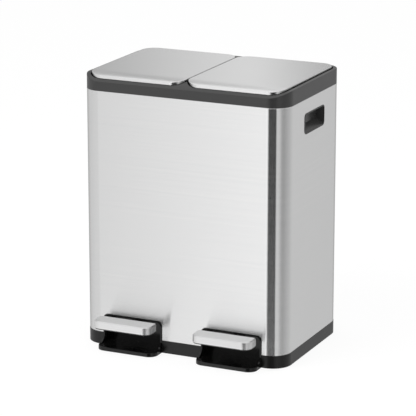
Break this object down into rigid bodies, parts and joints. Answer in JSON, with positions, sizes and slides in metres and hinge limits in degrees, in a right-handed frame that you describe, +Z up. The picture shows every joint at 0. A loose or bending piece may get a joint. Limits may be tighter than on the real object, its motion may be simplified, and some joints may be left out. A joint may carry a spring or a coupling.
{
  "type": "double recycling bin",
  "caption": "Tall rectangular brushed-steel pedal bin with separate lids, a lift-out bucket under each, recessed side grips and a dark moulded collar and base.",
  "frame": {"origin": "middle of the whole part's footprint, on the ground under the rubber feet", "axes": "+Z up, -Y towards the pedals (front), +X to the right seen from the front"},
  "size_m": [0.5176, 0.4104, 0.6555],
  "materials": {
    "brushed_steel": "horizontally brushed, satin",
    "collar_plastic": "fine moulded texture, satin",
    "base_plastic": "fine moulded texture, satin",
    "surround_plastic": "glossy black",
    "grip_plastic": "satin black",
    "inner_plastic": "moulded, matt",
    "bucket_plastic": "moulded, satin",
    "rubber": "matt",
    "plated_steel": "zinc plated",
    "guide_plastic": "natural, smooth"
  },
  "bodies": {
    "body": {"steel_shell": "brushed_steel", "rear_seam_strip": "plated_steel", "top_collar": "collar_plastic", "base_tray": "base_plastic", "inner_floor": "inner_plastic", "rubber_feet": "rubber", "base_screws": "plated_steel", "hinge_screws": "plated_steel", "axle_clips": "plated_steel", "hinge_bracket_right": "plated_steel", "hinge_pin_right": "plated_steel", "rod_bush_right": "guide_plastic", "pedal_axle_right": "plated_steel", "pedal_surround_right": "surround_plastic", "side_grip_right": "grip_plastic", "hinge_bracket_left": "plated_steel", "hinge_pin_left": "plated_steel", "rod_bush_left": "guide_plastic", "pedal_axle_left": "plated_steel", "pedal_surround_left": "surround_plastic", "side_grip_left": "grip_plastic"},
    "lid_right": {"lid_skin_right": "brushed_steel", "lid_frame_right": "inner_plastic", "lid_bumpers_right": "rubber"},
    "pedal_right": {"pedal_cap_right": "brushed_steel", "pedal_pad_right": "inner_plastic", "pedal_lever_right": "plated_steel", "pad_screws_right": "plated_steel"},
    "rod_right": {"push_rod_right": "plated_steel", "rod_cap_right": "guide_plastic"},
    "bucket_right": {"inner_bucket_right": "bucket_plastic"},
    "lid_left": {"lid_skin_left": "brushed_steel", "lid_frame_left": "inner_plastic", "lid_bumpers_left": "rubber"},
    "pedal_left": {"pedal_cap_left": "brushed_steel", "pedal_pad_left": "inner_plastic", "pedal_lever_left": "plated_steel", "pad_screws_left": "plated_steel"},
    "rod_left": {"push_rod_left": "plated_steel", "rod_cap_left": "guide_plastic"},
    "bucket_left": {"inner_bucket_left": "bucket_plastic"}
  },
  "joints": [
    {"name": "lid_right_hinge", "type": "hinge", "parent": "body", "child": "lid_right", "pos_m": [0.127, 0.17275, 0.649], "axis": [-1, 0, 0], "range_deg": [0, 78]},
    {"name": "pedal_right_tilt", "type": "hinge", "parent": "body", "child": "pedal_right", "pos_m": [0.127, -0.02725, 0.03], "axis": [1, 0, 0], "range_deg": [0, 10.81]},
    {"name": "rod_right_lift", "type": "slide", "parent": "body", "child": "rod_right", "axis": [0, 0, 1], "range_m": [0, 0.03336]},
    {"name": "bucket_right_lift", "type": "slide", "parent": "body", "child": "bucket_right", "axis": [0, 0, 1], "range_m": [0, 0.012]},
    {"name": "lid_left_hinge", "type": "hinge", "parent": "body", "child": "lid_left", "pos_m": [-0.127, 0.17275, 0.649], "axis": [-1, 0, 0], "range_deg": [0, 78]},
    {"name": "pedal_left_tilt", "type": "hinge", "parent": "body", "child": "pedal_left", "pos_m": [-0.127, -0.02725, 0.03], "axis": [1, 0, 0], "range_deg": [0, 10.81]},
    {"name": "rod_left_lift", "type": "slide", "parent": "body", "child": "rod_left", "axis": [0, 0, 1], "range_m": [0, 0.03336]},
    {"name": "bucket_left_lift", "type": "slide", "parent": "body", "child": "bucket_left", "axis": [0, 0, 1], "range_m": [0, 0.012]}
  ],
  "couplings": [
    {"joint": "pedal_right_tilt", "follows": "lid_right_hinge", "ratio": 0.13856},
    {"joint": "rod_right_lift", "follows": "lid_right_hinge", "m_per_rad": 0.024501},
    {"joint": "pedal_left_tilt", "follows": "lid_left_hinge", "ratio": 0.13856},
    {"joint": "rod_left_lift", "follows": "lid_left_hinge", "m_per_rad": 0.024501}
  ]
}
